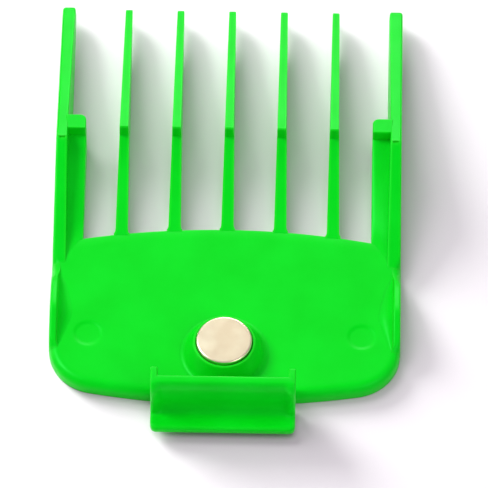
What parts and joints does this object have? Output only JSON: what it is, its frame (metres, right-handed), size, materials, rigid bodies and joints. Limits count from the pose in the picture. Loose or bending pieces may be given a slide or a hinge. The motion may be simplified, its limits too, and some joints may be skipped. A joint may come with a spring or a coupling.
{
  "type": "clipper guard comb",
  "caption": "Slip-on hair clipper guard comb: slim tapered teeth, stepped blade seat, disc magnet on a boss and a sprung thumb latch.",
  "frame": {"origin": "where the magnet's axis meets the plane that the comb rests on, which is also the plane that glides on the skin", "axes": "+X across the comb to its right side, +Y towards the tooth tips, +Z from the skin to the clipper's blade"},
  "size_m": [0.0506, 0.074, 0.0084],
  "materials": {
    "green_plastic": "moulded, semi-gloss",
    "nickel_plating": "plated and lightly scuffed",
    "clear_adhesive": "cured, semi-clear"
  },
  "bodies": {
    "comb": {"deck_plate": "green_plastic", "skirt_side_left": "green_plastic", "skirt_side_right": "green_plastic", "skirt_rear_left": "green_plastic", "skirt_rear_right": "green_plastic", "rib_1": "green_plastic", "rib_2": "green_plastic", "rib_3": "green_plastic", "rib_4": "green_plastic", "rib_5": "green_plastic", "tooth_1": "green_plastic", "tooth_2": "green_plastic", "tooth_3": "green_plastic", "tooth_4": "green_plastic", "tooth_5": "green_plastic", "outer_tooth_left": "green_plastic", "outer_tooth_right": "green_plastic", "side_wall_left": "green_plastic", "side_wall_right": "green_plastic", "blade_ledge_left": "green_plastic", "blade_ledge_right": "green_plastic", "stop_block_left": "green_plastic", "stop_block_right": "green_plastic", "side_ear_left": "green_plastic", "side_ear_right": "green_plastic", "magnet_boss": "green_plastic", "magnet_adhesive": "clear_adhesive", "magnet_disc": "nickel_plating", "latch_web": "green_plastic"},
    "latch": {"latch_wall": "green_plastic", "latch_hook": "green_plastic", "thumb_tab": "green_plastic", "latch_end_left": "green_plastic", "latch_end_right": "green_plastic"}
  },
  "joints": [
    {"name": "latch_flex", "type": "hinge", "parent": "comb", "child": "latch", "pos_m": [0, -0.00775, 0.00095], "axis": [1, 0, 0], "range_deg": [0, 10], "stiffness_Nm_per_rad": 0.16, "deforming": ["latch_web"]}
  ]
}
